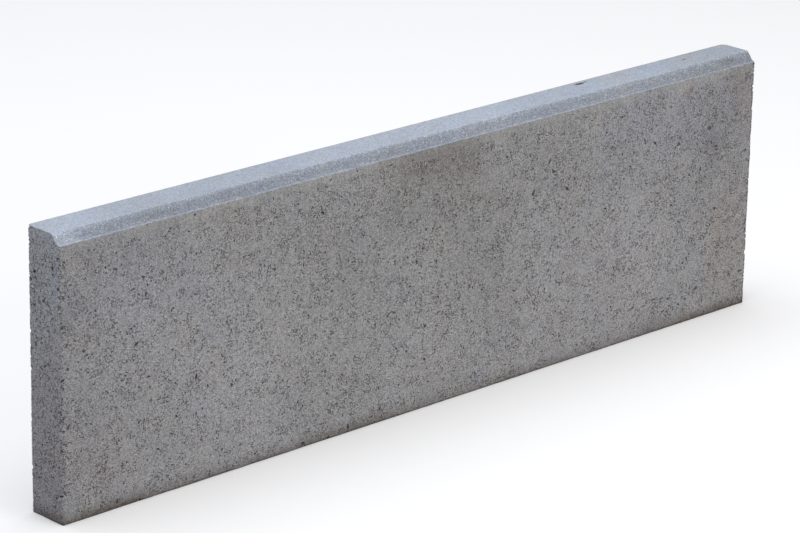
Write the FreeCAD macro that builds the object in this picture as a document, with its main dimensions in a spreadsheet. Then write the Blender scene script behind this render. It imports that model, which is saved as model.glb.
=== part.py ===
"""One straight unit of concrete garden edging, standing on its long narrow side as it is laid.

The unit is pressed in one go from earth-damp concrete: a plain slab with a flat base, square ends and
one bevelled arris along the top of its face. X runs along the unit, the bevelled face looks towards -Y
and +Z is up. The origin is the middle of the base. All sizes are in millimetres.
"""

import FreeCAD, Part
import os
import Sketcher

# alias, size, what it is
SIZES = [
    ("slab_length", 1000.0, "length of one unit, the laying module"),
    ("slab_height", 300.0, "base to top"),
    ("slab_thickness", 50.0, "face to back"),
    ("bevel_width", 12.5, "how far the bevel reaches back from the face, lip included"),
    ("bevel_depth", 10.0, "how far the bevel reaches down the face"),
    ("lip_width", 4.5, "level lip that the press head leaves along the foot of the bevel"),
    ("crest_radius", 2.5, "soft bend from the top into the bevel"),
    ("root_radius", 4.0, "hollow bend from the bevel into its lip"),
    ("upright_arris_radius", 2.5, "rounding of the four upright arrises at the ends"),
    ("base_arris_radius", 1.5, "rounding of the arris round the base"),
    ("top_arris_radius", 0.5, "rounding of the arris round the top and its bevel"),
]

NEAR = 1e-4


def make_sizes(doc):
    """The sheet of driving dimensions, one row each with its alias."""
    sheet = doc.addObject("Spreadsheet::Sheet", "sizes")
    for row, (alias, value, meaning) in enumerate(SIZES, start=1):
        sheet.set(f"A{row}", alias)
        sheet.set(f"B{row}", str(value))
        sheet.set(f"C{row}", meaning)
        sheet.setAlias(f"B{row}", alias)
    doc.recompute()
    return sheet


def origin_plane(body, role):
    """The body's own origin plane of that role."""
    return next(item for item in body.Origin.OriginFeatures if item.Role == role)


def add_section(body, sheet):
    """The slab's cross-section, as six straight sides that are bound to the sheet."""
    sketch = body.newObject("Sketcher::SketchObject", "section")
    sketch.AttachmentSupport = (origin_plane(body, "YZ_Plane"), [""])
    sketch.MapMode = "FlatFace"

    half = sheet.slab_thickness / 2
    face, back = -half, half
    shoulder = sheet.slab_height - sheet.bevel_depth
    corners = [
        (face, 0),
        (back, 0),
        (back, sheet.slab_height),
        (face + sheet.bevel_width, sheet.slab_height),
        (face + sheet.lip_width, shoulder),
        (face, shoulder),
    ]
    base, back_side, top, bevel, lip, face_side = range(len(corners))
    for start, end in zip(corners, corners[1:] + corners[:1]):
        line = Part.LineSegment(FreeCAD.Vector(*start, 0), FreeCAD.Vector(*end, 0))
        sketch.addGeometry(line, False)

    first, last = 1, 2
    origin = (-1, 1)
    for side in range(len(corners)):
        following = (side + 1) % len(corners)
        sketch.addConstraint(Sketcher.Constraint("Coincident", side, last, following, first))
    for side in (base, top, lip):
        sketch.addConstraint(Sketcher.Constraint("Horizontal", side))
    for side in (back_side, face_side):
        sketch.addConstraint(Sketcher.Constraint("Vertical", side))
    sketch.addConstraint(Sketcher.Constraint("Symmetric", base, first, base, last, *origin))

    def bind(kind, start, end, alias):
        """One named distance between two corners, taken from the sheet."""
        place = sketch.addConstraint(Sketcher.Constraint(kind, *start, *end, getattr(sheet, alias)))
        sketch.renameConstraint(place, alias)
        sketch.setExpression(f"Constraints.{alias}", f"{sheet.Name}.{alias}")

    bind("DistanceX", (base, first), (base, last), "slab_thickness")
    bind("DistanceY", (back_side, first), (back_side, last), "slab_height")
    bind("DistanceX", (face_side, first), (bevel, first), "bevel_width")
    bind("DistanceY", (face_side, first), (bevel, first), "bevel_depth")
    bind("DistanceX", (face_side, first), (lip, first), "lip_width")
    return sketch


def add_pad(body, sheet, sketch):
    """The section drawn out to the full length, half of it to each side of the origin."""
    pad = body.newObject("PartDesign::Pad", "drawn_length")
    pad.Profile = sketch
    pad.SideType = "Symmetric"
    pad.setExpression("Length", f"{sheet.Name}.slab_length")
    sketch.Visibility = False
    return pad


def add_fillet(body, sheet, label, alias, wanted):
    """Rounds the edges of the body's last feature whose bounding box passes the test."""
    before = body.Tip
    names = [f"Edge{n}" for n, edge in enumerate(before.Shape.Edges, start=1) if wanted(edge.BoundBox)]
    if not names:
        raise RuntimeError(f"{label}: no edge to round")
    fillet = body.newObject("PartDesign::Fillet", label)
    fillet.Base = (before, names)
    fillet.setExpression("Radius", f"{sheet.Name}.{alias}")
    body.Document.recompute()
    if not fillet.isValid() or abs(fillet.Shape.Volume - before.Shape.Volume) < NEAR:
        raise RuntimeError(f"{label}: the rounding changed nothing")
    return fillet


def make_slab(doc, sheet):
    """The pressed slab: section, length, and the bends and worn arrises in the order they meet."""
    body = doc.addObject("PartDesign::Body", "edging_slab")
    body.Label = "edging_slab"
    add_pad(body, sheet, add_section(body, sheet))
    doc.recompute()

    face = -sheet.slab_thickness / 2
    back = sheet.slab_thickness / 2
    top = sheet.slab_height
    crest = face + sheet.bevel_width
    root = face + sheet.lip_width
    shoulder = top - sheet.bevel_depth

    def along(box, y, z):
        """True for an edge that runs along the unit at that place in its section."""
        level = abs(box.YMin - y) < NEAR and abs(box.YMax - y) < NEAR
        return level and abs(box.ZMin - z) < NEAR and abs(box.ZMax - z) < NEAR

    def upright(box):
        """True for an edge that stands on the base at an end of the unit."""
        return box.XLength < NEAR and box.YLength < NEAR and box.ZMin < NEAR

    def on_base(box):
        """True for an edge that lies in the base."""
        return box.ZMax < NEAR

    def on_top(box):
        """True for the long edges of the top, from which the rounding runs on round the ends."""
        return along(box, back, top) or along(box, face, shoulder)

    add_fillet(body, sheet, "crest_bend", "crest_radius", lambda box: along(box, crest, top))
    add_fillet(body, sheet, "root_bend", "root_radius", lambda box: along(box, root, shoulder))
    add_fillet(body, sheet, "upright_arrises", "upright_arris_radius", upright)
    add_fillet(body, sheet, "base_arris", "base_arris_radius", on_base)
    add_fillet(body, sheet, "top_arris", "top_arris_radius", on_top)
    return body


def check(doc, bodies):
    """Stops at any failed feature or bad solid, before a file is written."""
    for item in doc.Objects:
        if "Invalid" in item.State or "Error" in item.State:
            raise RuntimeError(f"{item.Name} failed: {item.State}")
    for body in bodies:
        shape = body.Shape
        if shape.isNull() or not shape.isValid() or len(shape.Solids) != 1:
            raise RuntimeError(f"{body.Label} isn't one valid solid")


def main():
    doc = FreeCAD.newDocument("garden_edging")
    sheet = make_sizes(doc)
    bodies = [make_slab(doc, sheet)]
    doc.recompute()
    check(doc, bodies)
    os.makedirs("parts", exist_ok=True)
    for body in bodies:
        shape = body.Shape
        shape.exportStep(f"parts/{body.Label}.step")
        box = shape.BoundBox
        print(
            f"{body.Label}: {box.XLength:.1f} x {box.YLength:.1f} x {box.ZLength:.1f} mm, "
            f"{shape.Volume / 1e6:.3f} litres"
        )


main()
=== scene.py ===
import math
from types import SimpleNamespace

import bpy
import numpy as np
from mathutils import Matrix, Vector


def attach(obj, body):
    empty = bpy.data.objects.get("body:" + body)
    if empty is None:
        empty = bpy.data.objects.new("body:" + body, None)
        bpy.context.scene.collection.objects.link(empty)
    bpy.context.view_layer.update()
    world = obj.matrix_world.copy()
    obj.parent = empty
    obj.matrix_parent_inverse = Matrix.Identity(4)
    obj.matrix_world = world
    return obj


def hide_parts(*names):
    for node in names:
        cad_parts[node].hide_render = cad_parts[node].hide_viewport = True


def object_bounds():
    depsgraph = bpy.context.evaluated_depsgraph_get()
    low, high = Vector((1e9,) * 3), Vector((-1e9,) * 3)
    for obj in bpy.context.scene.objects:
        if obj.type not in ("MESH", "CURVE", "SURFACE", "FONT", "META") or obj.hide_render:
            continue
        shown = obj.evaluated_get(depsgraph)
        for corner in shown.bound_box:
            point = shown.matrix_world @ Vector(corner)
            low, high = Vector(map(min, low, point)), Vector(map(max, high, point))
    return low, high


# A straight unit of pressed concrete garden edging: one grey slab that stands on its long narrow side.
# Sizes are in metres, and in millimetres where a comment says so. X runs along the slab, its bevelled face
# looks towards -Y, and Z is up.

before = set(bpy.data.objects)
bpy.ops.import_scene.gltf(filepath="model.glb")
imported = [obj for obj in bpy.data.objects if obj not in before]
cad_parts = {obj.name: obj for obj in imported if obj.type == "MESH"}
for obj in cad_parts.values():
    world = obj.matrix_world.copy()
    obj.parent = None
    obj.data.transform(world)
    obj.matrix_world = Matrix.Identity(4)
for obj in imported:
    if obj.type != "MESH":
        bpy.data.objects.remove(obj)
cad_low, cad_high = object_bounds()


# Camera
# It stands in front of the slab's left end and looks down on it a little, as the photograph was taken.

VIEW_PLACE = (-2.5632, -2.6587, 1.4359)
VIEW_HEADING = math.radians(-43.656)
VIEW_DOWN = math.radians(19.196)
VIEW_ROLL = math.radians(1.079)
VIEW_LENS_MM = 165.97
VIEW_REACH = 50.0

camera_data = bpy.data.cameras.new("camera")
camera_data.lens = VIEW_LENS_MM
camera_data.clip_end = VIEW_REACH
camera = bpy.data.objects.new("camera", camera_data)
camera.matrix_world = (
    Matrix.Translation(VIEW_PLACE)
    @ Matrix.Rotation(VIEW_HEADING, 4, "Z")
    @ Matrix.Rotation(math.radians(90) - VIEW_DOWN, 4, "X")
    @ Matrix.Rotation(VIEW_ROLL, 4, "Z")
)
bpy.context.scene.collection.objects.link(camera)
bpy.context.scene.camera = camera


# Studio floor and lamps
# A pale floor that shows white to the camera and keeps the slab's shadow, a broad lamp overhead that
# is a little cool, as an open sky is, and a broad lamp in front and to the right of the face.

FLOOR_HALF = 12.0
FLOOR_SEEN = (0.86, 0.85, 0.82, 1)
FLOOR_GIVEN = (0.42, 0.42, 0.42, 1)
FLOOR_GLOW = 0.16
SKY_COLOUR = (0.96, 0.985, 1.055, 1)
SKY_STRENGTH = 0.52
# name, place, what it looks at, side length, watts, colour
LAMPS = [
    ("overhead_lamp", (-0.3, 0.2, 3.2), (0, 0, 0.2), 3.0, 60.0, (0.95, 0.985, 1.065)),
    ("front_lamp", (1.2, -4.2, 1.6), (0, 0, 0.15), 2.4, 68.0, (1.06, 1.0, 0.93)),
]


def add(tree, kind, feeds=None, **settings):
    """A node with its settings. Each feed is a socket to link or a plain value, by input name or number."""
    made = tree.nodes.new(kind)
    for name, value in settings.items():
        setattr(made, name, value)
    for name, value in (feeds or {}).items():
        if isinstance(value, bpy.types.NodeSocket):
            tree.links.new(value, made.inputs[name])
        else:
            made.inputs[name].default_value = value
    return made


def calc(tree, operation, *values):
    """The result of one sum on sockets or numbers."""
    return add(tree, "ShaderNodeMath", dict(enumerate(values)), operation=operation).outputs[0]


def times(tree, first, *others):
    """Sockets or numbers multiplied together."""
    for other in others:
        first = calc(tree, "MULTIPLY", first, other)
    return first


def new_tree(material):
    """The material's node tree, emptied."""
    material.use_nodes = True
    material.node_tree.nodes.clear()
    return material.node_tree


def make_floor():
    """A square of floor. The camera and reflections see it paler than the light that it gives back."""
    corners = [(x * FLOOR_HALF, y * FLOOR_HALF, 0) for x, y in ((-1, -1), (1, -1), (1, 1), (-1, 1))]
    mesh = bpy.data.meshes.new("studio_floor")
    mesh.from_pydata(corners, [], [(0, 1, 2, 3)])
    material = bpy.data.materials.new("studio_floor")
    tree = new_tree(material)
    ray = add(tree, "ShaderNodeLightPath").outputs
    seen = calc(tree, "MAXIMUM", ray["Is Camera Ray"], ray["Is Glossy Ray"])
    feeds = {"Factor": seen, 6: FLOOR_GIVEN, 7: FLOOR_SEEN}
    colour = add(tree, "ShaderNodeMix", feeds, data_type="RGBA").outputs[2]
    diffuse = add(tree, "ShaderNodeBsdfDiffuse", {"Color": colour}).outputs[0]
    glow = add(tree, "ShaderNodeEmission", {"Strength": times(tree, seen, FLOOR_GLOW)}).outputs[0]
    both = add(tree, "ShaderNodeAddShader", {0: diffuse, 1: glow}).outputs[0]
    add(tree, "ShaderNodeOutputMaterial", {"Surface": both})
    mesh.materials.append(material)
    floor = bpy.data.objects.new("studio_floor", mesh)
    bpy.context.scene.collection.objects.link(floor)


def make_world():
    """An even cool light all round, behind which the camera sees plain white."""
    world = bpy.data.worlds.new("studio")
    world.use_nodes = True
    tree = world.node_tree
    tree.nodes.clear()
    ray = add(tree, "ShaderNodeLightPath").outputs
    seen = calc(tree, "MAXIMUM", ray["Is Camera Ray"], ray["Is Glossy Ray"])
    sky = add(tree, "ShaderNodeBackground", {"Color": SKY_COLOUR, "Strength": SKY_STRENGTH})
    white = add(tree, "ShaderNodeBackground", {"Color": (1, 1, 1, 1), "Strength": 1.0})
    mixed = add(tree, "ShaderNodeMixShader", {0: seen, 1: sky.outputs[0], 2: white.outputs[0]})
    add(tree, "ShaderNodeOutputWorld", {"Surface": mixed.outputs[0]})
    bpy.context.scene.world = world


def make_lamp(name, place, target, side, watts, colour):
    """A square lamp that looks at its target."""
    data = bpy.data.lights.new(name, "AREA")
    data.shape = "SQUARE"
    data.size = side
    data.energy = watts
    data.color = colour
    lamp = bpy.data.objects.new(name, data)
    turn = (Vector(target) - Vector(place)).to_track_quat("-Z", "Y").to_matrix().to_4x4()
    lamp.matrix_world = Matrix.Translation(place) @ turn
    bpy.context.scene.collection.objects.link(lamp)


make_floor()
make_world()
for lamp in LAMPS:
    make_lamp(*lamp)
bpy.context.scene.view_settings.view_transform = "Standard"


# The slab
# One piece of earth-damp concrete, pressed in a steel mould. The press head closes and smooths the top
# and its bevel; the mould's sides leave an open, sandy skin with voids between the grains.

BEVEL_WIDTH = 0.0125
BEVEL_DEPTH = 0.010
LIP_WIDTH = 0.0045
CREST_RADIUS = 0.0025
ROOT_RADIUS = 0.004
UPRIGHT_ARRIS = 0.0025
BASE_ARRIS = 0.0015
TOP_ARRIS = 0.0005

# the grid of the skin: its spacing, and into how many parts it divides the bends and narrow sides
GRID_PITCH = 0.0075
BEND_STEPS = 3
ARRIS_STEPS = 3
CORNER_STEPS = 2
BEVEL_COLUMNS = 3
TOP_COLUMNS = 7
# how far in from the face and back the section shrinks at the ends, and the rings set close behind them
ARRIS_FADE = 0.006
END_STEPS = (0.0022, 0.0046)
# the worn back arris of the right end: its radius at the top, and how far down the wear reaches
WORN_RADIUS = 0.009
WORN_DROP = 0.070

half_length = cad_high.x
half_thickness = cad_high.y
slab_height = cad_high.z
shoulder = slab_height - BEVEL_DEPTH


def bend(before, corner, after, radius, steps):
    """Points of the arc that rounds a corner of the section, from one tangent point to the other."""
    start, end = (before - corner).normalized(), (after - corner).normalized()
    half_angle = start.angle(end) / 2
    tangent = radius / math.tan(half_angle)
    middle = corner + (start + end).normalized() * radius / math.sin(half_angle)
    first, last = corner + start * tangent - middle, corner + end * tangent - middle
    turn = first.angle_signed(last)
    return [middle + Matrix.Rotation(-turn * k / steps, 2) @ first for k in range(steps + 1)]


def straight(start, end, pieces):
    """Points between two ends, both left out."""
    return [start.lerp(end, k / pieces) for k in range(1, pieces)]


def section_sides():
    """The four sides of the section as runs of (y, z) points, each from one corner's middle to the next.

    Opposite sides have as many points as each other, so that the ends can be filled with a grid.
    """
    face, back = -half_thickness, half_thickness
    base_front, lip_front = Vector((face, 0)), Vector((face, shoulder))
    root = Vector((face + LIP_WIDTH, shoulder))
    crest = Vector((face + BEVEL_WIDTH, slab_height))
    top_back, base_back = Vector((back, slab_height)), Vector((back, 0))

    low_front = bend(base_back, base_front, lip_front, BASE_ARRIS, CORNER_STEPS)
    lip = bend(base_front, lip_front, root, TOP_ARRIS, CORNER_STEPS)
    root_bend = bend(lip_front, root, crest, ROOT_RADIUS, BEND_STEPS)
    crest_bend = bend(root, crest, top_back, CREST_RADIUS, BEND_STEPS)
    high_back = bend(crest, top_back, base_back, TOP_ARRIS, CORNER_STEPS)
    low_back = bend(top_back, base_back, base_front, BASE_ARRIS, CORNER_STEPS)

    rows = round(slab_height / GRID_PITCH)
    slope = straight(root_bend[-1], crest_bend[0], BEVEL_COLUMNS)
    flat = straight(crest_bend[-1], high_back[0], TOP_COLUMNS)
    top_side = [*lip[1:], *root_bend, *slope, *crest_bend, *flat, *high_back[:2]]
    columns = len(top_side) - 3
    face_side = [*low_front[1:], *straight(low_front[2], lip[0], rows), *lip[:2]]
    back_side = [*high_back[1:], *straight(high_back[2], low_back[0], rows), *low_back[:2]]
    base_side = [*low_back[1:], *straight(low_back[2], low_front[0], columns), *low_front[:2]]
    return face_side, top_side, back_side, base_side


def skin_rings(sides):
    """The section at each place along the slab: the x of each of its points, and the points.

    It shrinks over the last millimetres, which rounds the arrises of the ends.
    """
    radii = (UPRIGHT_ARRIS, TOP_ARRIS, UPRIGHT_ARRIS, BASE_ARRIS)
    loop, end_radius = [], []
    for side, radius in zip(sides, radii):
        loop += side[:-1]
        end_radius += [radius] * (len(side) - 1)
    loop, end_radius = np.array(loop), np.array(end_radius)

    inner = loop.copy()
    near_side = np.clip(1 - (half_thickness - np.abs(loop[:, 0])) / ARRIS_FADE, 0, 1)
    inner[:, 0] -= np.sign(loop[:, 0]) * UPRIGHT_ARRIS * near_side
    inner[:, 1] = BASE_ARRIS + inner[:, 1] * (slab_height - BASE_ARRIS - TOP_ARRIS) / slab_height
    stations = []
    for k in range(ARRIS_STEPS + 1):
        angle = math.radians(90) * k / ARRIS_STEPS
        section = loop + (inner - loop) * (1 - math.cos(angle))
        reach = half_length - end_radius * (1 - math.sin(angle))
        stations.append((reach, section))

    level = half_length - UPRIGHT_ARRIS
    spread = np.linspace(-level, level, round(2 * level / GRID_PITCH) + 1)[1:-1]
    closer = [side * (level - step) for side in (-1, 1) for step in END_STEPS]
    spread = np.sort(np.append(spread, closer))
    rings = [(-reach, section) for reach, section in reversed(stations)]
    rings += [(np.full(len(loop), x), loop) for x in spread]
    return rings + stations


def fill_end(points, first, rows, columns, turned):
    """Closes the ring that starts at the first point with a grid, whose rows run from face to back.

    Gives all the points, with the grid's added, and the grid's faces.
    """
    around = 2 * (rows + columns)
    edge = points[first : first + around]
    left, top = edge[: rows + 1], edge[rows : rows + columns + 1]
    right = edge[rows + columns : 2 * rows + columns + 1][::-1]
    bottom = np.concatenate((edge[2 * rows + columns :], edge[:1]))[::-1]
    number = {}
    inside = []
    for i in range(rows + 1):
        for j in range(columns + 1):
            if j == 0:
                number[i, j] = first + i
            elif i == rows:
                number[i, j] = first + rows + j
            elif j == columns:
                number[i, j] = first + rows + columns + (rows - i)
            elif i == 0:
                number[i, j] = first + (2 * rows + columns + (columns - j)) % around
            else:
                u, v = j / columns, i / rows
                across = (1 - u) * left[i] + u * right[i] + (1 - v) * bottom[j] + v * top[j]
                low = (1 - u) * bottom[0] + u * bottom[-1]
                high = (1 - u) * top[0] + u * top[-1]
                number[i, j] = len(points) + len(inside)
                inside.append(across - (1 - v) * low - v * high)
    faces = []
    for i in range(rows):
        for j in range(columns):
            quad = (number[i, j], number[i + 1, j], number[i + 1, j + 1], number[i, j + 1])
            faces.append(quad if turned else quad[::-1])
    return np.concatenate((points, inside)), faces


def wear_back_arris(points):
    """Wears the upright arris at the back of the right end rounder towards its top."""
    x, y, z = points.T
    worn = np.clip(1 - (slab_height - z) / WORN_DROP, 0, 1) ** 2
    radius = UPRIGHT_ARRIS + (WORN_RADIUS - UPRIGHT_ARRIS) * worn
    across, along = x - half_length + radius, y - half_thickness + radius
    far = np.hypot(across, along)
    over = (across > 0) & (along > 0) & (far > radius)
    for column, offset, half in ((0, across, half_length), (1, along, half_thickness)):
        points[over, column] = (half - radius + offset * radius / np.maximum(far, radius))[over]


def make_skin():
    """The slab's closed skin as an even grid of four-sided faces."""
    sides = section_sides()
    rows, columns = len(sides[0]) - 1, len(sides[1]) - 1
    around = 2 * (rows + columns)
    rings = skin_rings(sides)
    points = np.concatenate([np.column_stack((x, section)) for x, section in rings])
    faces = []
    for ring in range(len(rings) - 1):
        for k in range(around):
            a, b = ring * around + k, ring * around + (k + 1) % around
            faces.append((a, a + around, b + around, b))
    last = (len(rings) - 1) * around
    for first, turned in ((0, True), (last, False)):
        points, end_faces = fill_end(points, first, rows, columns, turned)
        faces += end_faces
    wear_back_arris(points)

    mesh = bpy.data.meshes.new("pressed_slab")
    mesh.from_pydata(points.tolist(), [], faces)
    mesh.validate()
    return mesh


# millimetres in a metre, and the relief's depth in metres and breadth in millimetres
MM = 1000.0
RELIEF_DEPTH = 0.0005
RELIEF_SIZE = 18.0

# each kind of void: how many to the square metre, its radius, the scales of its smallest and largest, and
# the size of the lumps that roughen it with how far they can move its points. Chips have the holes' lumps.
PORES_PER_M2 = 4200.0
PORE_RADIUS = 0.0011
PORE_SCALES = (0.45, 1.35)
PORE_LUMPS = (0.0012, 0.0021)
CREVICES_PER_M2 = 1500.0
CREVICE_RADIUS = 0.0028
CREVICE_SCALES = (0.5, 1.25)
CREVICE_LUMPS = (0.0016, 0.0026)
HOLES_PER_M2 = 300.0
HOLE_RADIUS = 0.0018
HOLE_SCALES = (0.6, 1.5)
HOLE_LUMPS = (0.0018, 0.0030)
CHIPS_PER_M2 = 220000.0
CHIP_RADIUS = 0.0012
CHIP_SCALES = (0.7, 1.9)
PLACED_LUMPS = (0.0009, 0.0014)
CORNER_LUMPS = (0.003, 0.003)
# how short and long a void can be along its own axes beside its kind, the power that makes large ones rare,
# and the proportions of a lost grain's hole
LEAST_STRETCH, MOST_STRETCH = (0.7, 0.7, 0.85), (1.3, 1.3, 1.15)
RARE_LARGE = 3.0
HOLE_STRETCH = (1.3, 0.8, 0.9)
# how far apart the lumps of two copies are drawn
LUMP_SHIFT = 7.3
# the crevices' shapes: share of the crevice's radius, and sweep in degrees
CREVICE_BENDS = ((1.0, 95), (0.7, 120), (1.6, 60), (1.1, 70), (2.2, 55))
CREVICE_WIDTH = 0.00075
VOID_SEED = 11
SEED_STEP = 17

# how each void's faces are marked, which says how much painted shade darkens them: voids, and the shallower
# chips
VOID_MARK = 1.0
CHIP_MARK = 0.6

# how open the texture is beside the face's 1, and how far below the lip the face is rubbed closed
TOP_OPENNESS = 0.05
BASE_OPENNESS = 0.12
END_OPENNESS = 1.4
RUBBED_DEPTH = 0.009
RUBBED_OPENNESS = 0.25

# how much the arrises chip beside the upright arrises' 1: two of these chip less, and so does the foot. The
# power keeps the chips close to the arrises.
FRONT_LEFT_CHIPPING = 0.70
BACK_RIGHT_CHIPPING = 0.80
FOOT_CHIPPING = 0.5
CHIPPING_POWER = 5.0
# how near a point of the grid has to be to count as lying on a side
ON_SIDE = 0.0003

# single voids that stand out: place and half sizes along X, Y and Z in millimetres, the way that its side
# faces, and how many degrees the void is turned about that way
X_WAY, Y_WAY, Z_WAY = range(3)
PLACED_VOIDS = [
    ((-379, -25, 50), (2.6, 1.5, 1.2), Y_WAY, 25),
    ((-367, -25, 17), (2.2, 1.5, 1.4), Y_WAY, -30),
    ((-425, -25, 44), (2.0, 1.4, 1.2), Y_WAY, 10),
    ((-472, -25, 177), (2.4, 1.6, 1.6), Y_WAY, 40),
    ((-468, -25, 172), (1.8, 1.4, 1.0), Y_WAY, -20),
    ((-493, -25, 187), (3.0, 1.6, 1.8), Y_WAY, -50),
    ((-432, -25, 252), (3.4, 1.6, 1.3), Y_WAY, 20),
    ((-410, -25, 226), (3.2, 1.6, 1.2), Y_WAY, -15),
    ((-397, -25, 236), (2.4, 1.5, 1.4), Y_WAY, 35),
    ((-131, -25, 171), (2.4, 1.4, 1.0), Y_WAY, 30),
    ((-119, -25, 212), (4.2, 1.4, 0.9), Y_WAY, 38),
    ((-85, -25, 202), (2.6, 1.5, 1.1), Y_WAY, -25),
    ((7, -25, 104), (2.2, 1.4, 1.2), Y_WAY, 0),
    ((326, -25, 219), (2.8, 1.5, 1.2), Y_WAY, -20),
    ((377, -25, 217), (3.0, 1.6, 1.4), Y_WAY, 35),
    ((422, -25, 198), (3.2, 1.7, 1.6), Y_WAY, -25),
    ((438, -25, 202), (3.4, 1.7, 1.5), Y_WAY, 15),
    ((431, -25, 208), (2.2, 1.5, 1.4), Y_WAY, 60),
    ((489, -25, 187), (2.6, 1.6, 1.8), Y_WAY, 10),
    ((472, -25, 233), (2.8, 1.6, 1.4), Y_WAY, -40),
    ((345, -25, 40), (4.2, 1.5, 1.0), Y_WAY, 8),
    ((358, -25, 38), (4.0, 1.5, 1.1), Y_WAY, -6),
    ((369, -25, 35), (3.0, 1.5, 1.2), Y_WAY, 15),
    ((311, -25, 38), (3.2, 1.5, 1.1), Y_WAY, -10),
    ((489, -25, 41), (2.4, 1.6, 2.0), Y_WAY, 20),
    ((-500, 6, 157), (1.5, 3.2, 1.3), X_WAY, 30),
    ((-500, 0, 161), (1.5, 2.8, 1.2), X_WAY, -35),
    ((-500, -6, 164), (1.5, 3.0, 1.3), X_WAY, 25),
    ((-500, 14, 255), (1.5, 2.6, 1.8), X_WAY, -20),
    ((-500, 13, 248), (1.5, 2.0, 1.5), X_WAY, 40),
    ((-500, 14, 180), (1.5, 2.2, 2.0), X_WAY, 0),
    ((-500, 1, 228), (1.5, 2.4, 1.5), X_WAY, -30),
    ((-500, -22, 246), (1.5, 2.0, 2.2), X_WAY, 10),
    ((-500, -22, 277), (1.3, 1.4, 1.6), X_WAY, 0),
    ((-500, 25, 98), (3.0, 2.6, 2.4), X_WAY, 20),
    ((257, 17.3, 300), (7.5, 2.5, 2.4), Z_WAY, 2),
    ((417, 9, 300), (3.6, 1.2, 0.6), Z_WAY, 10),
]
# worn corners: place of the cutting ball's middle and its radius, in millimetres
WORN_CORNERS = [
    ((-505.5, -30.5, -5.5), 12.0),
    ((505.8, -30.8, -5.8), 12.0),
    ((-506, 31, -6), 12.2),
    ((-505, 30, 305), 10.0),
    ((508, -32, 293), 13.0),
]


def mark_skin(mesh):
    """Gives each point of the skin how open its texture is, and how much its arris chips."""
    place = np.empty(len(mesh.vertices) * 3, np.float32)
    mesh.vertices.foreach_get("co", place)
    x, y, z = place.reshape(-1, 3).T
    out_x, out_y = np.abs(x), np.abs(y)
    inside = (out_x < half_length - ON_SIDE) & (y < half_thickness - ON_SIDE)
    pressed = inside & (z > shoulder - ON_SIDE)
    below = np.clip((shoulder - z) / RUBBED_DEPTH, 0, 1)
    openness = RUBBED_OPENNESS + (1 - RUBBED_OPENNESS) * below
    openness[y > 0] = 1
    openness[~inside & (out_x > half_length - ON_SIDE)] = END_OPENNESS
    openness[pressed] = TOP_OPENNESS
    openness[z < ON_SIDE] = BASE_OPENNESS

    less = np.where(x < 0, FRONT_LEFT_CHIPPING, BACK_RIGHT_CHIPPING)
    upright = (out_x > half_length - UPRIGHT_ARRIS - ON_SIDE) & (out_y > half_thickness - UPRIGHT_ARRIS)
    upright = np.where(x * y > 0, less, 1.0) * upright
    foot = (out_x > half_length - BASE_ARRIS - ON_SIDE) | (out_y > half_thickness - BASE_ARRIS - ON_SIDE)
    foot &= z < BASE_ARRIS + ON_SIDE
    for name, values in (("openness", openness), ("arris", np.maximum(upright, FOOT_CHIPPING * foot))):
        attribute = mesh.attributes.new(name, "FLOAT", "POINT")
        attribute.data.foreach_set("value", values.astype(np.float32))


def plus(tree, first, *others):
    """Sockets or numbers added up."""
    for other in others:
        first = calc(tree, "ADD", first, other)
    return first


def group_input(tree, name, kind, default=None):
    """A named input of a node group."""
    made = tree.interface.new_socket(name, in_out="INPUT", socket_type=kind)
    if default is not None:
        made.default_value = default
    return made


def read(tree, name):
    """A named attribute of the skin."""
    node = add(tree, "GeometryNodeInputNamedAttribute", {"Name": name}, data_type="FLOAT")
    return node.outputs["Attribute"]


def scaled(tree, vector, share):
    """A vector times a number."""
    node = add(tree, "ShaderNodeVectorMath", {0: vector, "Scale": share}, operation="SCALE")
    return node.outputs["Vector"]


# how far apart two draws of a texture lie, in sizes
DRAW_SHIFT = (7.1, 3.7, 5.3)


def fitted(tree, place, size, stretch, draw):
    """The place measured in sizes, stretched where a streak runs, and shifted for each draw."""
    shares = tuple(1 / (size * share) for share in stretch)
    shift = tuple(step * draw for step in DRAW_SHIFT)
    feeds = {0: place, 1: shares, 2: shift}
    return add(tree, "ShaderNodeVectorMath", feeds, operation="MULTIPLY_ADD").outputs["Vector"]


def noise(tree, place, size, draw, detail=2.0, roughness=0.5, stretch=(1, 1, 1)):
    """Soft noise of that size in millimetres, about 0.5."""
    vector = fitted(tree, place, size, stretch, draw)
    feeds = {"Vector": vector, "Scale": 1.0, "Detail": detail, "Roughness": roughness}
    return add(tree, "ShaderNodeTexNoise", feeds).outputs[0]


def ramp(tree, value, low, high, to_low=0.0, to_high=1.0, soft=True):
    """The value brought from one range to another, with soft ends or straight."""
    feeds = {"Value": value, 1: low, 2: high, 3: to_low, 4: to_high}
    way = "SMOOTHSTEP" if soft else "LINEAR"
    return add(tree, "ShaderNodeMapRange", feeds, interpolation_type=way).outputs[0]


def open_patches(tree, place):
    """Soft noise that is high where the skin is open and rough, and low where it is closed."""
    return noise(tree, place, 12.0, 2, detail=3.0, roughness=0.6)


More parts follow.
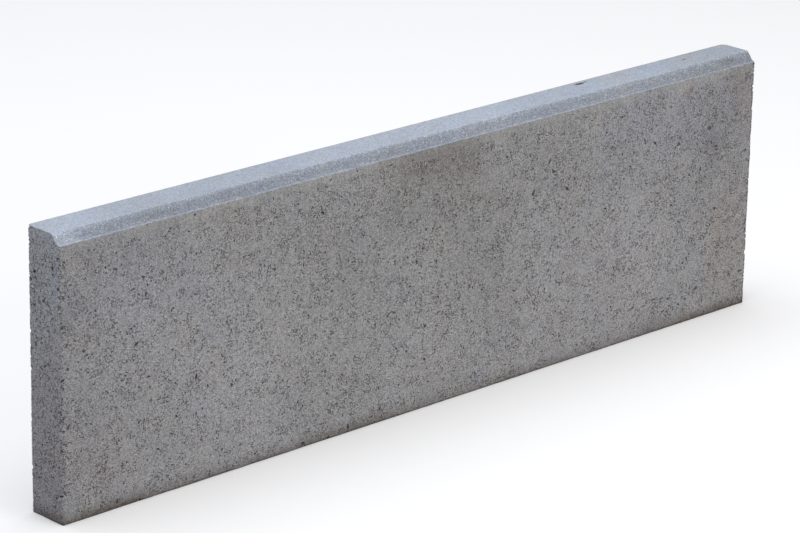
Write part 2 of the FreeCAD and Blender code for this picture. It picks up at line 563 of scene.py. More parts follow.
def rough_copy(tree, shape, lumps, seed, mark=VOID_MARK):
    """One void shape with its points moved about and its faces marked, ready to be instanced."""
    size, shift = lumps
    place = add(tree, "GeometryNodeInputPosition").outputs[0]
    feeds = {"Vector": place, "W": seed * LUMP_SHIFT, "Scale": 1 / size}
    lumpy = add(tree, "ShaderNodeTexNoise", feeds, noise_dimensions="4D").outputs["Color"]
    middle = (0.5, 0.5, 0.5)
    way = add(tree, "ShaderNodeVectorMath", {0: lumpy, 1: middle}, operation="SUBTRACT").outputs[0]
    feeds = {"Geometry": shape, "Offset": scaled(tree, way, shift)}
    moved = add(tree, "GeometryNodeSetPosition", feeds).outputs[0]
    feeds = {"Geometry": moved, "Name": "void", "Value": mark}
    marked = add(tree, "GeometryNodeStoreNamedAttribute", feeds, data_type="FLOAT", domain="FACE")
    return add(tree, "GeometryNodeGeometryToInstance", {0: marked.outputs[0]}).outputs[0]


def pore_shape(tree, radius):
    """A four-sided pit that narrows to a point."""
    feeds = {"Vertices": 4, "Radius Top": radius * 1.35, "Radius Bottom": 0.0, "Depth": radius * 2.0}
    cone = add(tree, "GeometryNodeMeshCone", feeds).outputs["Mesh"]
    feeds = {"Geometry": cone, "Translation": (0, 0, -radius * 1.6)}
    return add(tree, "GeometryNodeTransform", feeds).outputs[0]


def crevice_shape(tree, radius, sweep, width):
    """A curved groove with pointed ends, as is left beside a grain."""
    feeds = {"Resolution": 4, "Radius": radius, "Sweep Angle": math.radians(sweep)}
    arc = add(tree, "GeometryNodeCurveArc", feeds).outputs["Curve"]
    along = add(tree, "GeometryNodeSplineParameter").outputs["Factor"]
    swell = calc(tree, "SINE", times(tree, along, math.pi))
    thick = plus(tree, times(tree, swell, 0.9), 0.12)
    tapered = add(tree, "GeometryNodeSetCurveRadius", {"Curve": arc, "Radius": thick}).outputs[0]
    profile = add(tree, "GeometryNodeCurvePrimitiveCircle", {"Resolution": 4, "Radius": width})
    feeds = {"Curve": tapered, "Profile Curve": profile.outputs["Curve"], "Scale": thick, "Fill Caps": True}
    groove = add(tree, "GeometryNodeCurveToMesh", feeds).outputs[0]
    feeds = {"Geometry": groove, "Translation": (-radius * 0.9, 0, 0), "Scale": (1, 1, 1.7)}
    return add(tree, "GeometryNodeTransform", feeds).outputs[0]


def ball_shape(tree, radius, fineness):
    """A ball of triangles, which are smaller the finer it is."""
    feeds = {"Radius": radius, "Subdivisions": fineness}
    return add(tree, "GeometryNodeMeshIcoSphere", feeds).outputs["Mesh"]


def hole_shape(tree, radius, fineness):
    """A rounded lump, which leaves the hole of a grain that fell out."""
    feeds = {"Geometry": ball_shape(tree, radius, fineness), "Scale": HOLE_STRETCH}
    return add(tree, "GeometryNodeTransform", feeds).outputs[0]


def set_at(tree, shape, place, turn, scale):
    """A copy of a shape, set at a place in millimetres."""
    metres = tuple(value / MM for value in place)
    feeds = {"Geometry": shape, "Translation": metres, "Rotation": turn, "Scale": scale}
    return add(tree, "GeometryNodeTransform", feeds).outputs[0]


# for each kind of random number, the inputs of its node that hold the least and the most, and its output
DRAWN_SOCKETS = {"FLOAT_VECTOR": (0, 1, 0), "FLOAT": (2, 3, 1), "INT": (4, 5, 2)}


def drawn(tree, kind, least, most, seed):
    """A random vector or number for each point."""
    low, high, result = DRAWN_SOCKETS[kind]
    feeds = {low: least, high: most, "Seed": seed}
    return add(tree, "FunctionNodeRandomValue", feeds, data_type=kind).outputs[result]


def scatter(tree, skin, density, shapes, scales, seed):
    """Instances of the shapes at random over the skin, each turned and sized at random."""
    feeds = {"Mesh": skin, "Density": density, "Seed": seed}
    points = add(tree, "GeometryNodeDistributePointsOnFaces", feeds).outputs
    spin = drawn(tree, "FLOAT_VECTOR", (0, 0, 0), (0, 0, 2 * math.pi), seed)
    turn = add(tree, "FunctionNodeEulerToRotation", {0: spin}).outputs[0]
    feeds = {"Rotation": points["Rotation"], "Rotate By": turn}
    turned = add(tree, "FunctionNodeRotateRotation", feeds, rotation_space="LOCAL").outputs[0]

    smallest, largest = scales
    few_large = calc(tree, "POWER", drawn(tree, "FLOAT", 0.0, 1.0, seed), RARE_LARGE)
    size = plus(tree, times(tree, few_large, largest - smallest), smallest)
    stretch = drawn(tree, "FLOAT_VECTOR", LEAST_STRETCH, MOST_STRETCH, seed)
    choice = add(tree, "GeometryNodeJoinGeometry")
    for shape in shapes:
        tree.links.new(shape, choice.inputs[0])
    feeds = {
        "Points": points["Points"],
        "Instance": choice.outputs[0],
        "Pick Instance": True,
        "Instance Index": drawn(tree, "INT", 0, len(shapes) - 1, seed),
        "Rotation": turned,
        "Scale": scaled(tree, stretch, size),
    }
    return add(tree, "GeometryNodeInstanceOnPoints", feeds).outputs[0]


def scattered_voids(tree, given, skin, place):
    """The voids at random: pores, crevices and lost grains in open skin, and chips along the arrises."""
    bunched = ramp(tree, open_patches(tree, place), 0.40, 0.64, 0.12, 2.5)
    open_share = times(tree, read(tree, "openness"), bunched)
    arris_share = calc(tree, "POWER", read(tree, "arris"), CHIPPING_POWER)

    pores = [rough_copy(tree, pore_shape(tree, PORE_RADIUS), PORE_LUMPS, k) for k in range(5)]
    crevices = []
    for k, (share, sweep) in enumerate(CREVICE_BENDS):
        groove = crevice_shape(tree, CREVICE_RADIUS * share, sweep, CREVICE_WIDTH)
        crevices.append(rough_copy(tree, groove, CREVICE_LUMPS, 10 + k))
    holes = [rough_copy(tree, hole_shape(tree, HOLE_RADIUS, 2), HOLE_LUMPS, 20 + k) for k in range(4)]
    chips = []
    for k in range(3):
        chips.append(rough_copy(tree, hole_shape(tree, CHIP_RADIUS, 1), HOLE_LUMPS, 30 + k, CHIP_MARK))

    kinds = (
        ("Pores per m2", open_share, pores, PORE_SCALES),
        ("Crevices per m2", open_share, crevices, CREVICE_SCALES),
        ("Holes per m2", open_share, holes, HOLE_SCALES),
        ("Chips per m2", arris_share, chips, CHIP_SCALES),
    )
    found = []
    for number, (rate, share, shapes, scales) in enumerate(kinds):
        seed = plus(tree, given["Seed"], number * SEED_STEP)
        found.append(scatter(tree, skin, times(tree, given[rate], share), shapes, scales, seed))
    return found


def placed_voids(tree):
    """The single voids and the worn corners. A ball of 1 mm radius is scaled to each single void."""
    lumps = [rough_copy(tree, ball_shape(tree, 1 / MM, 2), PLACED_LUMPS, 40 + k) for k in range(5)]
    found = []
    for number, (spot, half_sizes, way, turn) in enumerate(PLACED_VOIDS):
        turned = tuple(math.radians(turn) * (way == axis) for axis in range(3))
        found.append(set_at(tree, lumps[number % len(lumps)], spot, turned, half_sizes))
    for number, (middle, radius) in enumerate(WORN_CORNERS):
        ball = rough_copy(tree, ball_shape(tree, radius / MM, 4), CORNER_LUMPS, 50 + number)
        found.append(set_at(tree, ball, middle, (0, 0, 0), (1, 1, 1)))
    return found


def surface_tree():
    """The node tree that gives the plain skin its relief and cuts its voids."""
    tree = bpy.data.node_groups.new("pressed_surface", "GeometryNodeTree")
    group_input(tree, "Geometry", "NodeSocketGeometry")
    group_input(tree, "Relief Depth", "NodeSocketFloat", RELIEF_DEPTH)
    group_input(tree, "Pores per m2", "NodeSocketFloat", PORES_PER_M2)
    group_input(tree, "Crevices per m2", "NodeSocketFloat", CREVICES_PER_M2)
    group_input(tree, "Holes per m2", "NodeSocketFloat", HOLES_PER_M2)
    group_input(tree, "Chips per m2", "NodeSocketFloat", CHIPS_PER_M2)
    group_input(tree, "Seed", "NodeSocketInt", VOID_SEED)
    group_input(tree, "Concrete", "NodeSocketMaterial")
    tree.interface.new_socket("Geometry", in_out="OUTPUT", socket_type="NodeSocketGeometry")
    given = add(tree, "NodeGroupInput").outputs

    place = scaled(tree, add(tree, "GeometryNodeInputPosition").outputs[0], MM)
    normal = add(tree, "GeometryNodeInputNormal").outputs[0]
    openness = calc(tree, "MINIMUM", read(tree, "openness"), 1.0)
    hollow = ramp(tree, noise(tree, place, RELIEF_SIZE, 0), 0.38, 0.72, soft=False)
    depth = times(tree, hollow, openness, given["Relief Depth"], -1.0)
    feeds = {"Geometry": given["Geometry"], "Offset": scaled(tree, normal, depth)}
    relief = add(tree, "GeometryNodeSetPosition", feeds).outputs[0]

    cuts = add(tree, "GeometryNodeJoinGeometry")
    for void in scattered_voids(tree, given, relief, place) + placed_voids(tree):
        tree.links.new(void, cuts.inputs[0])
    feeds = {0: relief, 1: cuts.outputs[0]}
    cut = add(tree, "GeometryNodeMeshBoolean", feeds, operation="DIFFERENCE", solver="MANIFOLD")
    real = add(tree, "GeometryNodeRealizeInstances", {0: cut.outputs[0]}).outputs[0]
    feeds = {"Geometry": real, "Material": given["Concrete"]}
    finished = add(tree, "GeometryNodeSetMaterial", feeds).outputs[0]
    add(tree, "NodeGroupOutput", {"Geometry": finished})
    return tree


def surfaced(mesh, material):
    """The skin with its relief and voids, as a plain mesh."""
    maker = bpy.data.objects.new("slab_skin", mesh)
    bpy.context.scene.collection.objects.link(maker)
    modifier = maker.modifiers.new("pressed_surface", "NODES")
    modifier.node_group = surface_tree()
    names = {item.name: item.identifier for item in modifier.node_group.interface.items_tree}
    modifier[names["Concrete"]] = material
    evaluated = maker.evaluated_get(bpy.context.evaluated_depsgraph_get())
    made = bpy.data.meshes.new_from_object(evaluated)
    bpy.data.objects.remove(maker)
    for name in ("openness", "arris"):
        made.attributes.remove(made.attributes[name])
    return made


# the flat layout: the gap between charts in millimetres, how far the top's chart spreads each millimetre of
# the bevel's fall, and how much a face's look upwards counts, so that the bevel goes with the top
CHART_GAP = 5.0
BEVEL_SPREAD = 0.6
UPWARD_WEIGHT = 1.8


def lay_out(mesh):
    """Lays the skin out flat, one side above the other, each void with the side that it lies in."""
    count = len(mesh.polygons)
    points = np.empty(len(mesh.vertices) * 3, np.float32)
    middle, normal = np.empty(count * 3, np.float32), np.empty(count * 3, np.float32)
    corners, void = np.empty(count, np.int32), np.empty(count, np.float32)
    vertex = np.empty(len(mesh.loops), np.int32)
    mesh.vertices.foreach_get("co", points)
    mesh.polygons.foreach_get("center", middle)
    mesh.polygons.foreach_get("normal", normal)
    mesh.polygons.foreach_get("loop_total", corners)
    mesh.attributes["void"].data.foreach_get("value", void)
    mesh.loops.foreach_get("vertex_index", vertex)
    end, half, high = half_length * MM, half_thickness * MM, slab_height * MM

    # a face of the skin goes by the way it looks, and a void's face by the side that it is nearest to
    x, y, z = middle.reshape(-1, 3).T * MM
    over, out, up = normal.reshape(-1, 3).T
    run, fall = (BEVEL_WIDTH - LIP_WIDTH) * MM, BEVEL_DEPTH * MM
    to_bevel = (fall * (y + half - BEVEL_WIDTH * MM) + run * (high - z)) / math.hypot(run, fall)
    facing = np.stack((-out, out, up * UPWARD_WEIGHT, -up, -over, over))
    near = -np.stack((half + y, half - y, np.minimum(high - z, to_bevel), z, end + x, end - x))
    side = np.repeat(np.where(void > CHIP_MARK / 2, near.argmax(0), facing.argmax(0)), corners)

    # the charts lie in rows, each above the one before it, and the two ends share a row
    x, y, z = points.reshape(-1, 3)[vertex].T * MM
    rises = np.cumsum([0, high, high, 2 * half + fall * BEVEL_SPREAD, 2 * half, 2 * half])
    face_row, back_row, top_row, base_row, end_row, total = rises + CHART_GAP * np.arange(6)
    charts = [
        (x + end, z + face_row),
        (end - x, z + back_row),
        (x + end, y + half + (z - high + fall) * BEVEL_SPREAD + top_row),
        (x + end, half - y + base_row),
        (z, y + half + end_row),
        (z + high + CHART_GAP, half - y + end_row),
    ]
    along = np.choose(side, [chart[0] for chart in charts]) + CHART_GAP
    above = np.choose(side, [chart[1] for chart in charts]) + CHART_GAP
    places = np.column_stack((along / (2 * end + 2 * CHART_GAP), above / (total + CHART_GAP)))
    layer = mesh.uv_layers.new(name="OFBake")
    layer.uv.foreach_set("vector", places.astype(np.float32).ravel())


# the concrete's colours, with painted sky light in the top's grey and painted shade in the bevel's and
# voids'
FACE_GREY = (0.362, 0.358, 0.361, 1)
# paler and bluer than the face: the closed pressed skin, and painted cool sky light on the top
TOP_GREY_SKYLIT = (0.370, 0.404, 0.457, 1)
# darker and bluer than the face: painted shade and cool sky light on the bevel, partly its coarser pressed
# finish
BEVEL_GREY_SHADED = (0.250, 0.273, 0.307, 1)
# painted shade inside the voids, grey, and brown where damp has stood in them
VOID_SHADE_GREY = (0.058, 0.057, 0.060, 1)
VOID_SHADE_BROWN = (0.074, 0.054, 0.041, 1)
FOOT_BROWN = (0.105, 0.083, 0.066, 1)
PALE_GRAIN = (0.70, 0.71, 0.73, 1)
FOOT_LINE = (0.060, 0.045, 0.036, 1)

# tints, which multiply a colour
WARM_GRAIN = (1.03, 1.0, 0.97)
COOL_GRAIN = (0.97, 1.0, 1.03)
WARM_DRIFT = (1.02, 1.0, 0.965)
COOL_DRIFT = (0.975, 0.998, 1.03)
HIGH_FACE = (0.93, 0.93, 0.93)
CLOSED_STRIP = (1.04, 1.04, 1.02)
# painted light: the bevel paler where it bends up into the crest
LIT_CREST = (1.21, 1.21, 1.21)
PALE_LEFT_BEVEL = (1.38, 1.37, 1.36)
# painted highlight along the lip's edge near the left end
LEFT_LIP_HIGHLIGHT = (1.4, 1.4, 1.4)
DULL_LIP = (0.93, 0.93, 0.925)
RUBBED_LIP = (1.22, 1.21, 1.20)
BROWN_TOP = (0.985, 0.955, 0.905)
CREST_STAIN = (0.78, 0.74, 0.68)
WARM_END = (1.02, 0.99, 0.99)
# painted cool sky light: the ends paler and bluer higher up
SKYLIT_HIGH_END = (1.14, 1.20, 1.25)
END_STRIP = (1.03, 1.04, 1.06)

# levels in millimetres between which a side changes tone, and the stretch that the crest's stain covers
RUB_FADE = (130.0, 260.0)
FACE_FADE = (70.0, 240.0)
END_FADE = (90.0, 290.0)
STRIP_FADE = (20.0, 200.0)
CREST_STAIN_SPAN = (458.0, 470.0)

# voids too small to be cut: spacing in millimetres, draw, colour channel that ranks them, how many more
# there are in open skin, the reach over which one fades out, and the ranks over which one fades in
# each draws dark spots of painted shade where voids too small to cut lie
SMALL_VOID_SHADES = [
    (1.9, 8, 1, 0.22, (0.28, 0.42), (0.71, 0.86)),
    (3.0, 18, 0, 0.25, (0.20, 0.32), (0.88, 1.02)),
]

# clouds on the face: middle x and z, half width and height in millimetres, and the tint
CLOUDS = [
    (0, 276, 80, 34, (0.83, 0.81, 0.785)),
    (0, 245, 115, 60, (0.935, 0.925, 0.91)),
    (-60, 190, 330, 200, (0.985, 0.99, 0.973)),
    (-497, 216, 26, 30, (0.88, 0.89, 0.91)),
    (-395, 230, 95, 75, (1.01, 1.02, 1.05)),
    (-475, 120, 62, 130, (0.95, 0.945, 0.95)),
    (-450, 60, 60, 60, (0.965, 0.945, 0.935)),
    (-285, 125, 130, 140, (1.075, 1.075, 1.085)),
    (330, 245, 110, 80, (0.98, 0.995, 1.03)),
    (300, 95, 85, 80, (1.095, 1.09, 1.095)),
    (435, 240, 80, 65, (0.94, 0.94, 0.955)),
    (430, 205, 26, 22, (0.89, 0.89, 0.895)),
    (470, 160, 85, 200, (0.93, 0.925, 0.92)),
    (460, 75, 48, 90, (1.0, 0.96, 0.915)),
    (480, 255, 25, 40, (0.97, 0.94, 0.93)),
    (390, 275, 14, 9, (0.84, 0.78, 0.72)),
    (55, 238, 2.0, 62, (0.93, 0.87, 0.82)),
]
# how far the noise can wave a cloud's edge: as a share of its half width, and at most in millimetres
CLOUD_WAVE = 1.6
CLOUD_WAVE_MOST = 60.0

# marks on the top: middle x and y, half length and half width in millimetres, and the tint
TOP_MARKS_AND_HOLE_SHADE = [
    # painted shade in the void cut here
    (257, 17.3, 9.5, 3.4, (0.50, 0.51, 0.50)),
    (417, 9.0, 6.5, 2.4, (0.86, 0.84, 0.80)),
    (318, 14.0, 9.0, 4.0, (0.95, 0.92, 0.88)),
    (381, -9.0, 10.0, 3.2, (0.86, 0.83, 0.79)),
]
# darker and paler stretches of the top: middle x and half width in millimetres, and the tint
TOP_SHADES = [
    (-315, 110, (0.95, 0.945, 0.94)),
    (50, 110, (1.07, 1.07, 1.075)),
    (-480, 110, (1.05, 1.06, 1.07)),
    (480, 130, (0.92, 0.92, 0.92)),
]

# how strongly the slab darkens towards the foot, and where it darkens more: middle x, half width in
# millimetres, how much more
FOOT_DARKENING_STRENGTH = 0.66
FOOT_DARKER_STRETCHES = [
    (-455, 105, 0.75),
    (-165, 150, 0.25),
    (475, 120, 0.65),
]

# places on the section in millimetres, in which the texture is measured
face_y, back_y = -half_thickness * MM, half_thickness * MM
end_x, lip_z = half_length * MM, shoulder * MM
crest_y, root_y = face_y + BEVEL_WIDTH * MM, face_y + LIP_WIDTH * MM


def cells(tree, place, size, draw, feature="F1"):
    """Grains of that size in millimetres: the outputs of a Voronoi texture."""
    vector = fitted(tree, place, size, (1, 1, 1), draw)
    node = add(tree, "ShaderNodeTexVoronoi", {"Vector": vector, "Scale": 1.0}, feature=feature)
    return node.outputs


def rank(tree, found, channel):
    """A random number for each grain."""
    return add(tree, "ShaderNodeSeparateColor", {0: found["Color"]}).outputs[channel]


def mix(tree, share, first, second, way="MIX"):
    """Two colours mixed."""
    feeds = {"Factor": share, 6: first, 7: second}
    return add(tree, "ShaderNodeMix", feeds, data_type="RGBA", blend_type=way).outputs[2]


def tinted(tree, share, colour, tint):
    """The colour times a tint, as far as the share says."""
    return mix(tree, share, colour, (*tint, 1), "MULTIPLY")


def grey(tree, value):
    """A number as a colour."""
    return add(tree, "ShaderNodeCombineColor", {0: value, 1: value, 2: value}).outputs[0]


def larger(tree, first, second):
    """The larger of two sockets or numbers."""
    return calc(tree, "MAXIMUM", first, second)


def rest_of(tree, share):
    """What a share leaves of one."""
    return calc(tree, "SUBTRACT", 1.0, share)


def centred(tree, noise_value):
    """A noise as its distance from 0.5."""
    return calc(tree, "SUBTRACT", noise_value, 0.5)


def about_one(tree, *parts):
    """One plus the sum of each part's distance from 0.5 times its weight."""
    total = 1.0
    for part, weight in parts:
        total = plus(tree, times(tree, centred(tree, part), weight), total)
    return total


def band(tree, value, low, high, soft):
    """1 between two levels and 0 beyond them."""
    return times(tree, ramp(tree, value, low - soft, low), ramp(tree, value, high, high + soft, 1.0, 0.0))


def patch(tree, place, middle, halves, wavy):
    """1 in the middle of a soft patch, and 0 from a little beyond its half sizes. A 0 leaves an axis out."""
    shares = tuple(1 / half if half else 0 for half in halves)
    shift = tuple(-spot * share for spot, share in zip(middle, shares))
    feeds = {0: place, 1: shares, 2: shift}
    off = add(tree, "ShaderNodeVectorMath", feeds, operation="MULTIPLY_ADD").outputs[0]
    far = add(tree, "ShaderNodeVectorMath", {0: off}, operation="LENGTH").outputs["Value"]
    return ramp(tree, plus(tree, far, wavy), 0.25, 1.15, 1.0, 0.0)


def stretch_share(tree, spot, middle_x, half_width, wavy=0.0, most=1.0):
    """How much of a stretch of the slab's length there is at a spot: most in its middle, 0 beyond it."""
    aside = calc(tree, "ABSOLUTE", calc(tree, "SUBTRACT", spot.x, middle_x))
    return ramp(tree, plus(tree, aside, wavy), half_width * 0.3, half_width, most, 0.0)


def read_spot(tree):
    """What the texture knows of a spot on the slab: its place in millimetres and the shared noises."""
    metres = add(tree, "ShaderNodeTexCoord").outputs["Object"]
    place = scaled(tree, metres, MM)
    x, y, z = add(tree, "ShaderNodeSeparateXYZ", {0: place}).outputs
    return SimpleNamespace(
        place=place,
        x=x,
        y=y,
        z=z,
        void=add(tree, "ShaderNodeAttribute", attribute_name="void").outputs["Fac"],
        sand=noise(tree, place, 0.7, 5, roughness=0.8),
        wobble=noise(tree, place, 3.0, 10),
        small=noise(tree, place, 6.0, 1),
        middle=noise(tree, place, 28.0, 14, detail=3.0),
        broad=noise(tree, place, 110.0, 4),
        opened=open_patches(tree, place),
        grain=cells(tree, place, 1.1, 3),
    )


def find_zones(tree, spot):
    """How far a spot lies in each zone: the closed skin of top and bevel, the lip, the face, the ends."""
    wobble = centred(tree, spot.wobble)
    level = plus(tree, spot.z, times(tree, wobble, 0.8))
    far = calc(tree, "ABSOLUTE", spot.x)
    high = ramp(tree, level, lip_z - 0.35, lip_z + 0.15)
    not_back = ramp(tree, spot.y, back_y - 0.8, back_y - 0.2, 1.0, 0.0)
    not_end = ramp(tree, far, end_x - 0.8, end_x - 0.2, 1.0, 0.0)
    pressed = times(tree, high, not_back, not_end)
    open_skin = rest_of(tree, pressed)

    wavy_y = plus(tree, spot.y, times(tree, wobble, 0.5))
    below_crest = ramp(tree, wavy_y, crest_y - 1.0, crest_y + 0.2, 1.0, 0.0)
    on_bevel = times(tree, pressed, below_crest, ramp(tree, spot.y, root_y - 4.3, root_y - 2.2))
    on_face = times(tree, ramp(tree, spot.y, face_y + 0.3, face_y + 1.5, 1.0, 0.0), open_skin)
    wavy_z = plus(tree, spot.z, times(tree, centred(tree, spot.middle), 26.0))
    return SimpleNamespace(
        pressed=pressed,
        open_skin=open_skin,
        not_end=not_end,
        on_bevel=on_bevel,
        on_lip=times(tree, pressed, ramp(tree, spot.y, root_y, root_y + 1.5, 1.0, 0.0)),
        on_face=on_face,
        under_lip=times(tree, on_face, ramp(tree, wavy_z, lip_z - 13.0, lip_z - 6.0)),
        on_end=ramp(tree, far, end_x - 0.9, end_x - 0.3),
    )


def small_void_shade(tree, spot, zone):
    """Painted shade of voids between grains, too small to cut: cracks beside grains, dots and larger pits.
    """
    rough = ramp(tree, spot.opened, 0.44, 0.62)
    edge = cells(tree, spot.place, 2.8, 12, feature="DISTANCE_TO_EDGE")["Distance"]
    dark = times(
        tree,
        ramp(tree, edge, 0.05, 0.13, 1.0, 0.0),
        ramp(tree, noise(tree, spot.place, 3.6, 7, detail=1.0), 0.57, 0.64),
        plus(tree, times(tree, rough, 0.6), 0.25),
    )
    ragged = times(tree, centred(tree, spot.sand), 0.4)
    for spacing, draw, channel, more, reaches, ranks in SMALL_VOID_SHADES:
        found = cells(tree, spot.place, spacing, draw)
        crowd = plus(tree, rank(tree, found, channel), times(tree, rough, more))
        reach = plus(tree, found["Distance"], ragged)
        hole = times(tree, ramp(tree, reach, *reaches, 1.0, 0.0), ramp(tree, crowd, *ranks))
        dark = larger(tree, dark, hole)

    # few show on the closed skin and under the lip, and more on the ends
    shown = ramp(tree, zone.open_skin, 0.0, 1.0, 0.04, 1.0)
    shown = plus(tree, shown, times(tree, zone.on_bevel, 0.16))
    dark = times(tree, dark, shown, rest_of(tree, times(tree, zone.under_lip, 0.7)))
    return times(tree, dark, plus(tree, times(tree, zone.on_end, 0.2), 1.0))


def grain_tone(tree, spot, zone):
    """Lighter and darker: grains of different greys, fine sand, soft mottling and upright rub marks."""
    streak = noise(tree, spot.place, 2.6, 6, detail=1.0, stretch=(1, 1, 9))
    rubbing = times(tree, ramp(tree, spot.z, *RUB_FADE, 0.12, 0.34), zone.on_face)
    rubbed = about_one(tree, (streak, rubbing))

    # the grains stand out less where the skin is closed
    fine = about_one(tree, (rank(tree, spot.grain, 0), 0.75), (spot.sand, 2.4))
    closed = ramp(tree, spot.opened, 0.34, 0.47, 1.0, 0.0)
    calm = larger(tree, times(tree, closed, 0.3), times(tree, zone.pressed, 0.42))
    calm = larger(tree, calm, times(tree, zone.under_lip, 0.3))
    calm = calc(tree, "SUBTRACT", calm, times(tree, zone.on_bevel, 0.22))
    fine = plus(tree, times(tree, calc(tree, "SUBTRACT", fine, 1.0), rest_of(tree, calm)), 1.0)

    openness = (spot.opened, times(tree, zone.open_skin, -0.12))
    soft = about_one(tree, (spot.small, 0.17), (spot.middle, 0.12), (spot.broad, 0.28), openness)
    soft = plus(tree, soft, times(tree, zone.pressed, centred(tree, spot.wobble), 0.16))
    return times(tree, fine, soft, rubbed)


def grain_colour(tree, spot, zone):
    """The grey of each zone in its tone, warmer or cooler from grain to grain; top and bevel hold painted
    light.

    It drifts more broadly too, with the sand and with the lime in the paste.
    """
    # the top's grey holds painted sky light and the bevel's grey painted shade
    base = mix(tree, zone.on_bevel, TOP_GREY_SKYLIT, BEVEL_GREY_SHADED)
    base = mix(tree, zone.pressed, FACE_GREY, base)
    colour = mix(tree, 1.0, base, grey(tree, grain_tone(tree, spot, zone)), "MULTIPLY")
    warm = rank(tree, spot.grain, 1)
    colour = tinted(tree, warm, colour, WARM_GRAIN)
    colour = tinted(tree, rest_of(tree, warm), colour, COOL_GRAIN)
    slow = noise(tree, spot.place, 34.0, 22, detail=3.0)
    quick = noise(tree, spot.place, 3.4, 23)
    drift = about_one(tree, (slow, 1.0), (quick, 0.5))
    colour = tinted(tree, ramp(tree, drift, 1.0, 1.3), colour, WARM_DRIFT)
    return tinted(tree, ramp(tree, drift, 1.0, 0.7), colour, COOL_DRIFT)


def face_colour(tree, spot, zone, colour):
    """The face's clouds, its darker upper part and its closed strip under the lip."""
    ragged = centred(tree, spot.middle)
    for cloud_x, cloud_z, half_width, half_rise, tint in CLOUDS:
        wavy = times(tree, ragged, min(CLOUD_WAVE, CLOUD_WAVE_MOST / half_width))
        share = patch(tree, spot.place, (cloud_x, 0, cloud_z), (half_width, 0, half_rise), wavy)
        colour = tinted(tree, times(tree, share, zone.on_face), colour, tint)
    high = times(tree, zone.on_face, ramp(tree, spot.z, *FACE_FADE))
    colour = tinted(tree, high, colour, HIGH_FACE)
    return tinted(tree, zone.under_lip, colour, CLOSED_STRIP)


def pale_grains(tree, spot, zone, colour):
    """Pale grains everywhere: more and brighter ones on the bevel and its lip, dimmer ones on the top."""
    specks = cells(tree, spot.place, 2.5, 31)
    frequent = plus(tree, times(tree, zone.on_bevel, 0.16), times(tree, zone.on_lip, 0.30))
    speck = times(
        tree,
        ramp(tree, specks["Distance"], 0.14, 0.30, 1.0, 0.0),
        ramp(tree, rank(tree, specks, 2), calc(tree, "SUBTRACT", 0.90, frequent), 0.96),
    )
    beyond_crest = ramp(tree, spot.y, crest_y + 1.0, crest_y + 6.0)
    on_top = times(tree, zone.pressed, rest_of(tree, zone.on_bevel), beyond_crest)
    bright = plus(tree, 0.55, times(tree, larger(tree, zone.on_bevel, zone.on_lip), 0.35))
    bright = times(tree, bright, rest_of(tree, times(tree, on_top, 0.55)))
    return mix(tree, times(tree, speck, bright), colour, PALE_GRAIN)


def bevel_colour(tree, spot, zone, colour):
    """The bevel: paler at its left end, with painted light by its crest and on its lip, rubbed pale in
    places.
    """
    # painted light on the bevel's bend up into the crest
    near_crest = times(tree, zone.on_bevel, ramp(tree, spot.y, crest_y - 5.0, crest_y - 0.5))
    colour = tinted(tree, near_crest, colour, LIT_CREST)
    wavy_x = plus(tree, spot.x, times(tree, centred(tree, spot.middle), 30.0))
    left_end = ramp(tree, wavy_x, -end_x + 14.0, -end_x + 38.0, 1.0, 0.0)
    colour = tinted(tree, times(tree, zone.on_bevel, left_end), colour, PALE_LEFT_BEVEL)
    # a painted highlight along the lip's edge, strongest near the left end
    lip_line = times(
        tree,
        ramp(tree, spot.y, face_y + 0.5, face_y + 2.2, 1.0, 0.0),
        band(tree, spot.z, lip_z - 0.7, lip_z + 1.0, 0.4),
        ramp(tree, noise(tree, spot.place, 7.0, 26, detail=3.0), 0.36, 0.62),
        zone.not_end,
    )
    colour = tinted(tree, times(tree, lip_line, left_end), colour, LEFT_LIP_HIGHLIGHT)
    rubbed = ramp(tree, noise(tree, spot.place, 26.0, 33, detail=4.0, roughness=0.7), 0.46, 0.62)
    lip = times(tree, zone.on_lip, zone.not_end)
    colour = tinted(tree, lip, colour, DULL_LIP)
    return tinted(tree, times(tree, lip, rubbed), colour, RUBBED_LIP)


def top_colour(tree, spot, zone, colour):
    """Stains on the top: brown to the right end, shades, single marks, painted shade in a hole, a crest
    stain.
    """
    stained = ramp(tree, spot.broad, 0.4, 0.62)
    stain = times(tree, zone.pressed, ramp(tree, spot.x, 40.0, 520.0), stained)
    colour = tinted(tree, stain, colour, BROWN_TOP)
    wavy = times(tree, centred(tree, spot.middle), 60.0)
    for middle_x, half_width, tint in TOP_SHADES:
        share = stretch_share(tree, spot, middle_x, half_width, wavy)
        colour = tinted(tree, times(tree, zone.pressed, share), colour, tint)
    wavy = times(tree, centred(tree, spot.wobble), 0.8)
    # marks on the top, the first of them painted shade in a cut void
    for mark_x, mark_y, half_width, half_reach, tint in TOP_MARKS_AND_HOLE_SHADE:
        share = patch(tree, spot.place, (mark_x, mark_y, 0), (half_width, half_reach, 0), wavy)
        colour = tinted(tree, times(tree, share, zone.pressed), colour, tint)
    along = band(tree, spot.x, *CREST_STAIN_SPAN, 4.0)
    at_crest = band(tree, spot.y, crest_y - 5.0, crest_y + 1.0, 2.0)
    stain = times(tree, zone.pressed, along, at_crest, ramp(tree, spot.wobble, 0.4, 0.6))
    return tinted(tree, stain, colour, CREST_STAIN)


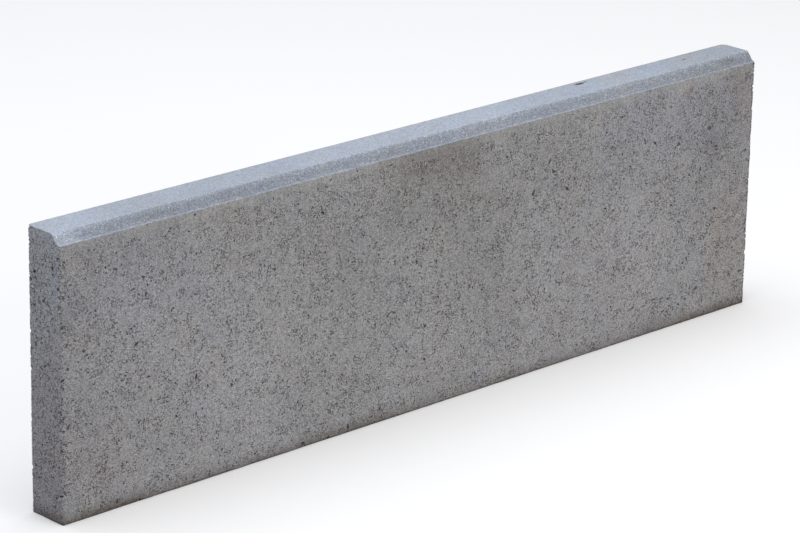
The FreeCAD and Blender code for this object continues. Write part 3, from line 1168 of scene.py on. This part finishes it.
def end_colour(tree, spot, zone, colour):
    """The ends: paler and cooler higher up with painted sky light, and a pale strip of closed paste by the
    face's arris.
    """
    colour = tinted(tree, zone.on_end, colour, WARM_END)
    # painted cool sky light, stronger higher up the ends
    high = times(tree, zone.on_end, ramp(tree, spot.z, *END_FADE))
    colour = tinted(tree, high, colour, SKYLIT_HIGH_END)
    wavy_y = plus(tree, spot.y, times(tree, centred(tree, spot.middle), 6.0))
    strip = times(
        tree,
        zone.on_end,
        ramp(tree, wavy_y, face_y + 2.2, face_y + 4.2, 1.0, 0.0),
        ramp(tree, spot.z, *STRIP_FADE, 0.45, 1.0),
    )
    return tinted(tree, strip, colour, END_STRIP)


def shaded_voids(tree, spot, dark, colour):
    """Voids, painted and cut: dark with painted shade, and brown where damp has stood in them."""
    damp = ramp(tree, noise(tree, spot.place, 60.0, 27, detail=2.0), 0.42, 0.58)
    inside = mix(tree, damp, VOID_SHADE_GREY, VOID_SHADE_BROWN)
    colour = mix(tree, times(tree, dark, 0.92), colour, inside)
    return mix(tree, times(tree, spot.void, 0.55), colour, inside)


def foot_darkening(tree, spot, colour):
    """Darker and browner towards the foot: a ragged soft band, and a thin dark line at the very bottom."""
    ragged = noise(tree, spot.place, 45.0, 9, detail=4.0)
    climb = calc(tree, "SUBTRACT", spot.z, times(tree, ragged, 22.0))
    band_strength = FOOT_DARKENING_STRENGTH
    for middle_x, half_width, more in FOOT_DARKER_STRETCHES:
        band_strength = plus(tree, band_strength, stretch_share(tree, spot, middle_x, half_width, most=more))
    foot_band = times(tree, ramp(tree, climb, -13.0, 8.0, 1.0, 0.0), band_strength)
    colour = mix(tree, times(tree, foot_band, 0.60), colour, FOOT_BROWN)
    low = calc(tree, "SUBTRACT", spot.z, times(tree, ragged, 5.0))
    line = ramp(tree, low, -1.6, 0.8, 1.0, 0.0)
    return mix(tree, times(tree, line, 0.55), colour, FOOT_LINE)


def fine_relief(tree, spot, zone, dark):
    """The sand's relief, about a millimetre deep and shallow on the closed skin, as a bumped normal."""
    height = plus(tree, times(tree, spot.sand, 0.5), times(tree, spot.grain["Distance"], -0.25))
    height = calc(tree, "SUBTRACT", height, times(tree, dark, 0.8))
    height = times(tree, height, ramp(tree, zone.open_skin, 0.0, 1.0, 0.25, 1.0))
    feeds = {"Strength": 1.0, "Distance": 1 / MM, "Height": height}
    return add(tree, "ShaderNodeBump", feeds).outputs[0]


def make_concrete():
    """The pressed concrete, coloured from its grains up to stains, painted light and shade, voids and the
    foot.
    """
    material = bpy.data.materials.new("pressed_concrete")
    tree = new_tree(material)
    spot = read_spot(tree)
    zone = find_zones(tree, spot)
    dark = small_void_shade(tree, spot, zone)
    colour = grain_colour(tree, spot, zone)
    for coat in (face_colour, pale_grains, bevel_colour, top_colour, end_colour):
        colour = coat(tree, spot, zone, colour)
    colour = shaded_voids(tree, spot, dark, colour)
    colour = foot_darkening(tree, spot, colour)
    shader = add(
        tree,
        "ShaderNodeBsdfPrincipled",
        {
            "Base Color": colour,
            "Roughness": ramp(tree, spot.sand, 0.3, 0.7, 0.82, 0.95),
            "Specular IOR Level": 0.3,
            "Normal": fine_relief(tree, spot, zone, dark),
        },
    )
    add(tree, "ShaderNodeOutputMaterial", {"Surface": shader.outputs[0]})
    return material


# edges sharper than this are shaded as edges
SHARP_ANGLE = math.radians(35)

concrete = make_concrete()
skin = make_skin()
mark_skin(skin)
mesh = surfaced(skin, concrete)
mesh.name = "pressed_slab"
mesh.set_sharp_from_angle(angle=SHARP_ANGLE)
lay_out(mesh)
slab = bpy.data.objects.new("pressed_slab", mesh)
bpy.context.scene.collection.objects.link(slab)
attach(slab, "root")
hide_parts("edging_slab")
